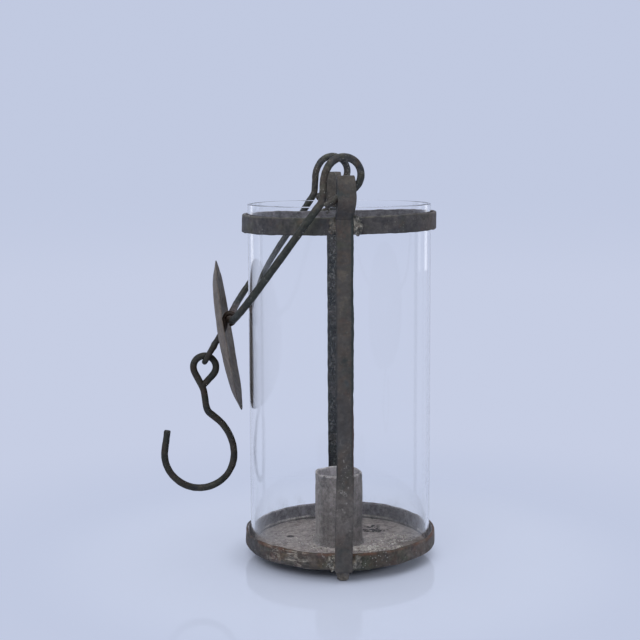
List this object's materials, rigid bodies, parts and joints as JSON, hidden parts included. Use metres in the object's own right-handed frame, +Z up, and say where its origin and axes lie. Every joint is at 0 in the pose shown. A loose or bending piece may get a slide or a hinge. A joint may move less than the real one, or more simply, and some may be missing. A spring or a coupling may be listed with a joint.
{
  "type": "candle lantern",
  "caption": "Candle lantern: footed tray with socket, flat uprights, guard ring, loose glass tube, and a swinging bail with smoke disc, link and hook.",
  "frame": {"origin": "on the floor, below the middle of the tray, on the glass tube's axis", "axes": "+Z up along the glass tube; the front upright is at -Y and the bail hangs down at -X"},
  "size_m": [0.1526, 0.1256, 0.2239],
  "materials": {
    "tray": "aged matt sheet iron",
    "socket": "aged matt sheet iron",
    "solder": "dull grey solder",
    "foot": "aged matt iron",
    "upright": "aged flat iron bar with dark scale and traces of rust",
    "ring": "aged iron band with dark scale",
    "braze": "rough dull braze",
    "rod": "dark wrought rod with a dull sheen",
    "wire": "dark wire",
    "disc": "aged sheet iron",
    "glass": "clear"
  },
  "bodies": {
    "base": {"tray": "tray", "candle_socket": "socket", "socket_solder": "solder", "foot_front": "foot", "foot_left": "foot", "foot_right": "foot", "upright_front": "upright", "upright_rear": "upright", "guard_ring": "ring", "ring_braze_front": "braze", "ring_braze_rear": "braze", "tray_braze_front": "braze", "tray_braze_rear": "braze"},
    "chimney": {"glass_chimney": "glass"},
    "bail": {"bail": "rod"},
    "link": {"hanging_link": "wire"},
    "disc": {"smoke_disc": "disc"},
    "hook": {"hook": "rod"}
  },
  "joints": [
    {"name": "bail_swing", "type": "hinge", "parent": "base", "child": "bail", "pos_m": [-0.0007, 0, 0.2132], "axis": [0, 1, 0], "range_deg": [0, 286.8]},
    {"name": "link_swing", "type": "hinge", "parent": "bail", "child": "link", "pos_m": [-0.06038, 0, 0.1338], "axis": [0, 1, 0], "range_deg": [0, 13.2]},
    {"name": "disc_tilt", "type": "hinge", "parent": "link", "child": "disc", "pos_m": [-0.0663, 0, 0.12371], "axis": [0, 1, 0], "range_deg": [-100.6, 0]},
    {"name": "hook_swing", "type": "hinge", "parent": "link", "child": "hook", "pos_m": [-0.0745, 0, 0.10973], "axis": [0, 1, 0], "range_deg": [-3, 48]},
    {"name": "chimney_lift", "type": "slide", "parent": "base", "child": "chimney", "axis": [0, 0, 1], "range_m": [0, 0.19]}
  ],
  "couplings": [
    {"joint": "disc_tilt", "follows": "bail_swing", "ratio": -0.3507}
  ]
}
